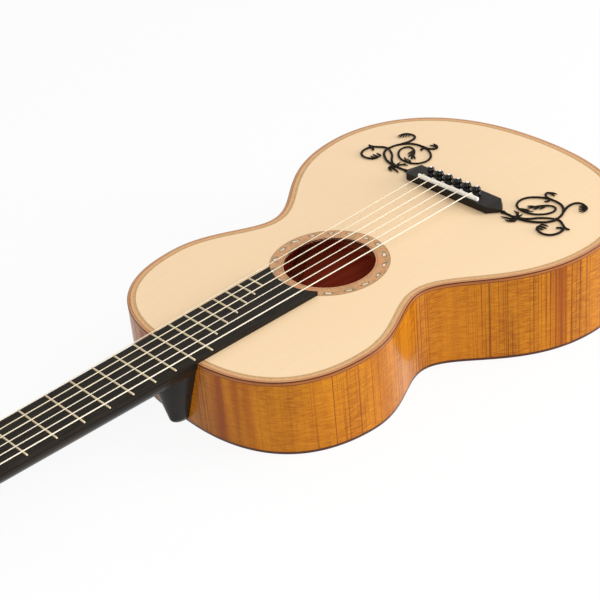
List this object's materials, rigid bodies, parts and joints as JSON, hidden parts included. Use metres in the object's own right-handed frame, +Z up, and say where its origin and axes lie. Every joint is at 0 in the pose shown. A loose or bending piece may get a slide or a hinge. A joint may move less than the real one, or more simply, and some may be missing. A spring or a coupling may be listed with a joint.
{
  "type": "romantic guitar",
  "caption": "Romantic guitar lying on its back: small waisted body, round soundhole, moustache bridge with vine scrolls, fretted neck and a figure-of-eight head with pegs.",
  "frame": {"origin": "on the outer face of the flat back, on the centreline, under the saddle", "axes": "+Y along the neck to the head, +X to the treble side, +Z up out of the soundboard; the back is level and the soundboard leans by the taper of the ribs"},
  "size_m": [0.3168, 0.9265, 0.1022],
  "materials": {
    "spruce_top": "satin",
    "flamed_maple": "gloss",
    "rosewood_binding": "gloss",
    "plain_inner_wood": "raw",
    "ebony": "satin",
    "black_polished_neck": "gloss",
    "bone": "satin",
    "burl_rosette": "gloss",
    "string": "gloss"
  },
  "bodies": {
    "body": {"soundboard": "spruce_top", "back": "flamed_maple", "ribs_bass": "flamed_maple", "ribs_treble": "flamed_maple", "top_binding": "rosewood_binding", "back_binding": "rosewood_binding", "top_lining": "plain_inner_wood", "back_lining": "plain_inner_wood", "neck_block": "plain_inner_wood", "tail_block": "plain_inner_wood", "top_brace_upper": "spruce_top", "top_brace_lower": "spruce_top", "back_brace_upper": "spruce_top", "back_brace_lower": "spruce_top", "bridge_plate": "plain_inner_wood", "rosette": "burl_rosette", "bridge": "ebony", "saddle": "bone", "scroll_bass": "ebony", "scroll_treble": "ebony", "nut": "bone", "fretboard": "ebony", "neck": "black_polished_neck", "fret_1": "bone", "fret_2": "bone", "fret_3": "bone", "fret_4": "bone", "fret_5": "bone", "fret_6": "bone", "fret_7": "bone", "fret_8": "bone", "fret_9": "bone", "fret_10": "bone", "fret_11": "bone", "fret_12": "bone", "fret_13": "bone", "fret_14": "bone", "fret_15": "bone", "fret_16": "bone", "fret_17": "bone", "fret_18": "bone", "fret_19": "bone", "string_1": "string", "string_2": "string", "string_3": "string", "string_4": "string", "string_5": "string", "string_6": "string"},
    "pin_1_body": {"bridge_pin_1": "ebony"},
    "pin_2_body": {"bridge_pin_2": "ebony"},
    "pin_3_body": {"bridge_pin_3": "ebony"},
    "pin_4_body": {"bridge_pin_4": "ebony"},
    "pin_5_body": {"bridge_pin_5": "ebony"},
    "pin_6_body": {"bridge_pin_6": "ebony"},
    "peg_1_body": {"peg_1": "ebony"},
    "peg_2_body": {"peg_2": "ebony"},
    "peg_3_body": {"peg_3": "ebony"},
    "peg_4_body": {"peg_4": "ebony"},
    "peg_5_body": {"peg_5": "ebony"},
    "peg_6_body": {"peg_6": "ebony"}
  },
  "joints": [
    {"name": "bridge_pin_1_pull", "type": "slide", "parent": "body", "child": "pin_1_body", "axis": [0, 0.0522, 0.9986], "range_m": [0, 0.02]},
    {"name": "bridge_pin_2_pull", "type": "slide", "parent": "body", "child": "pin_2_body", "axis": [0, 0.0522, 0.9986], "range_m": [0, 0.02]},
    {"name": "bridge_pin_3_pull", "type": "slide", "parent": "body", "child": "pin_3_body", "axis": [0, 0.0522, 0.9986], "range_m": [0, 0.02]},
    {"name": "bridge_pin_4_pull", "type": "slide", "parent": "body", "child": "pin_4_body", "axis": [0, 0.0522, 0.9986], "range_m": [0, 0.02]},
    {"name": "bridge_pin_5_pull", "type": "slide", "parent": "body", "child": "pin_5_body", "axis": [0, 0.0522, 0.9986], "range_m": [0, 0.02]},
    {"name": "bridge_pin_6_pull", "type": "slide", "parent": "body", "child": "pin_6_body", "axis": [0, 0.0522, 0.9986], "range_m": [0, 0.02]},
    {"name": "peg_1_turn", "type": "hinge", "parent": "body", "child": "peg_1_body", "pos_m": [0.022, 0.6773, 0.048], "axis": [0, 0.1391, 0.9903], "continuous": true},
    {"name": "peg_2_turn", "type": "hinge", "parent": "body", "child": "peg_2_body", "pos_m": [0.02, 0.71592, 0.04257], "axis": [0, 0.1391, 0.9903], "continuous": true},
    {"name": "peg_3_turn", "type": "hinge", "parent": "body", "child": "peg_3_body", "pos_m": [0.019, 0.75455, 0.03715], "axis": [0, 0.1391, 0.9903], "continuous": true},
    {"name": "peg_4_turn", "type": "hinge", "parent": "body", "child": "peg_4_body", "pos_m": [-0.019, 0.75455, 0.03715], "axis": [0, 0.1391, 0.9903], "continuous": true},
    {"name": "peg_5_turn", "type": "hinge", "parent": "body", "child": "peg_5_body", "pos_m": [-0.02, 0.71592, 0.04257], "axis": [0, 0.1391, 0.9903], "continuous": true},
    {"name": "peg_6_turn", "type": "hinge", "parent": "body", "child": "peg_6_body", "pos_m": [-0.022, 0.6773, 0.048], "axis": [0, 0.1391, 0.9903], "continuous": true}
  ]
}
